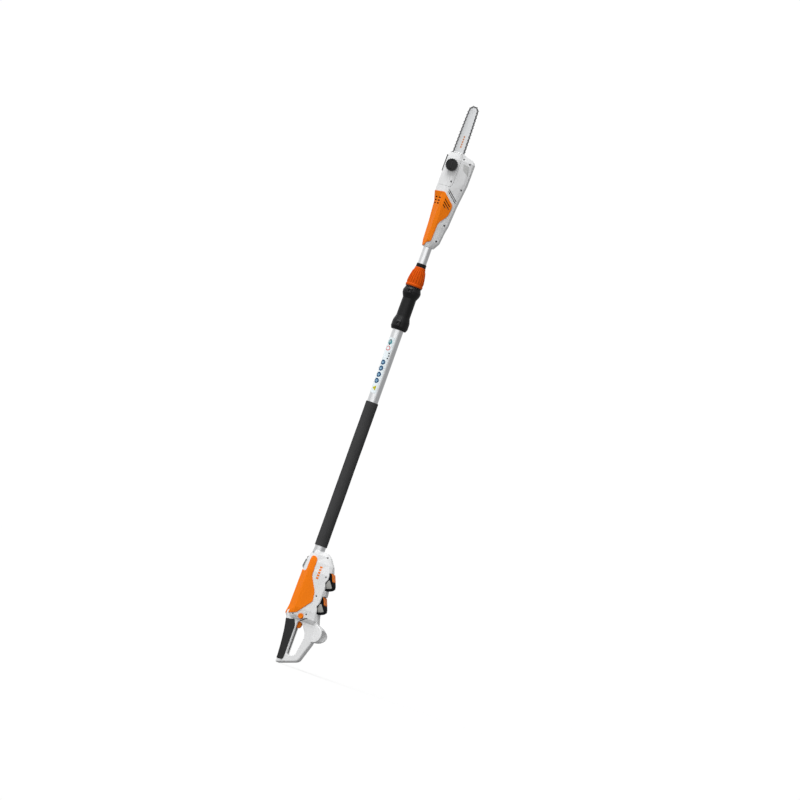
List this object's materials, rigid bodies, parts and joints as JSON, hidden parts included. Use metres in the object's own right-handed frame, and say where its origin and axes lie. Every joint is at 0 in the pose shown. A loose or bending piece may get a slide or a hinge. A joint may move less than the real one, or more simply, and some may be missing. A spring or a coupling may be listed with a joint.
{
  "type": "telescoping pole saw",
  "caption": "Battery pole saw with a loop rear handle, a foam-covered telescoping pole with a twist lock, and a small chain saw head at its tip.",
  "frame": {"origin": "on the flat foot under the loop handle, on the pole's axis", "axes": "+Z along the pole from the handle to the bar's tip, +X the underside where the batteries sit, -Y the right side with the sprocket cover"},
  "size_m": [0.1715, 0.0881, 2.0955],
  "materials": {
    "white_plastic": "light grey-white moulded plastic, fine grain",
    "orange_plastic": "orange moulded plastic, satin",
    "black_plastic": "black moulded plastic",
    "foam": "black closed-cell foam",
    "aluminium": "satin anodised",
    "steel": "ground steel",
    "chain_steel": "oiled steel",
    "grey_plastic": "grey moulded plastic",
    "contact_metal": "copper",
    "tank_plastic": "milky plastic",
    "board": "green circuit board"
  },
  "bodies": {
    "root": {"handle_shell_right": "white_plastic", "handle_shell_left": "white_plastic", "rear_cover": "orange_plastic", "grip_pad": "black_plastic", "grip_seam_strip": "black_plastic", "strap_eyelet": "grey_plastic", "trigger_switch": "black_plastic", "control_board": "board", "battery_terminals_upper": "contact_metal", "battery_terminals_lower": "contact_metal", "outer_tube": "aluminium", "foam_grip": "foam", "tube_label": "white_plastic", "clamp_sleeve_front": "black_plastic", "clamp_sleeve_back": "black_plastic", "sleeve_screw_lower": "steel", "sleeve_screw_upper": "steel", "collet": "black_plastic", "pole_cable": "black_plastic", "handle_screw_1": "steel", "handle_screw_2": "steel", "handle_screw_3": "steel", "handle_screw_4": "steel", "handle_screw_5": "steel"},
    "trigger": {"trigger": "orange_plastic"},
    "lockout": {"lockout_button": "orange_plastic"},
    "battery_upper": {"battery_upper": "black_plastic"},
    "latch_upper": {"battery_latch_upper": "orange_plastic"},
    "battery_lower": {"battery_lower": "black_plastic"},
    "latch_lower": {"battery_latch_lower": "orange_plastic"},
    "nut": {"lock_nut": "orange_plastic", "nut_collar": "black_plastic"},
    "boom": {"inner_tube": "aluminium", "guide_bush": "black_plastic", "head_shell_right": "white_plastic", "head_shell_left": "white_plastic", "head_cover": "orange_plastic", "motor_can": "steel", "guide_bar": "steel", "saw_chain": "chain_steel", "bar_stud": "steel", "oil_tank": "tank_plastic", "oil_pump": "grey_plastic", "edge_strip": "black_plastic", "head_screw_1": "steel", "head_screw_2": "steel", "head_screw_3": "steel", "head_screw_4": "steel", "head_screw_5": "steel"},
    "rotor": {"motor_rotor": "contact_metal", "motor_pinion": "steel"},
    "drive": {"drive_gear": "steel", "drive_shaft": "steel", "chain_sprocket": "steel"},
    "nose": {"nose_sprocket": "steel"},
    "cover": {"sprocket_cover": "white_plastic", "cover_screw": "steel"},
    "knob": {"tension_knob": "black_plastic"},
    "wing": {"knob_wing": "black_plastic"},
    "oil_cap": {"oil_cap": "white_plastic"}
  },
  "joints": [
    {"name": "telescope", "type": "slide", "parent": "root", "child": "boom", "axis": [0, 0, 1], "range_m": [0, 0.62], "deforming": ["pole_cable"]},
    {"name": "nut_turn", "type": "hinge", "parent": "root", "child": "nut", "pos_m": [0, 0, 1.45], "axis": [0, 0, 1], "range_deg": [0, 120]},
    {"name": "trigger_pull", "type": "hinge", "parent": "root", "child": "trigger", "pos_m": [0.014, 0, 0.16], "axis": [0, 1, 0], "range_deg": [0, 8], "stiffness_Nm_per_rad": 0.6, "springref_deg": -17.19},
    {"name": "lockout_press", "type": "slide", "parent": "root", "child": "lockout", "axis": [0, 1, 0], "range_m": [0, 0.004], "stiffness_N_per_m": 400, "springref_m": -0.003},
    {"name": "battery_upper_slide", "type": "slide", "parent": "root", "child": "battery_upper", "axis": [0.9164, 0, 0.4004], "range_m": [0, 0.09]},
    {"name": "battery_lower_slide", "type": "slide", "parent": "root", "child": "battery_lower", "axis": [0.9164, 0, 0.4004], "range_m": [0, 0.09]},
    {"name": "latch_upper_press", "type": "slide", "parent": "battery_upper", "child": "latch_upper", "axis": [-0.9164, 0, -0.4004], "range_m": [0, 0.003], "stiffness_N_per_m": 400, "springref_m": -0.002},
    {"name": "latch_lower_press", "type": "slide", "parent": "battery_lower", "child": "latch_lower", "axis": [-0.9164, 0, -0.4004], "range_m": [0, 0.003], "stiffness_N_per_m": 400, "springref_m": -0.002},
    {"name": "drive_spin", "type": "hinge", "parent": "boom", "child": "drive", "pos_m": [-0.006, 0, 1.8], "axis": [0, 1, 0], "continuous": true},
    {"name": "rotor_spin", "type": "hinge", "parent": "boom", "child": "rotor", "pos_m": [0.002, 0, 1.776], "axis": [0, 1, 0], "continuous": true},
    {"name": "nose_spin", "type": "hinge", "parent": "boom", "child": "nose", "pos_m": [-0.006, 0, 2.074], "axis": [0, 1, 0], "continuous": true},
    {"name": "cover_lift_off", "type": "slide", "parent": "boom", "child": "cover", "axis": [0, -1, 0], "range_m": [0, 0.03]},
    {"name": "knob_turn", "type": "hinge", "parent": "cover", "child": "knob", "pos_m": [-0.006, 0, 1.867], "axis": [0, 1, 0], "continuous": true},
    {"name": "wing_flip", "type": "hinge", "parent": "knob", "child": "wing", "pos_m": [-0.006, -0.047, 1.8555], "axis": [1, 0, 0], "range_deg": [0, 90]},
    {"name": "oil_cap_turn", "type": "hinge", "parent": "boom", "child": "oil_cap", "pos_m": [0, 0, 1.846], "axis": [1, 0, 0], "range_deg": [0, 90]}
  ],
  "couplings": [
    {"joint": "rotor_spin", "follows": "drive_spin", "ratio": -3.2},
    {"joint": "nose_spin", "follows": "drive_spin", "ratio": 0.77778}
  ]
}
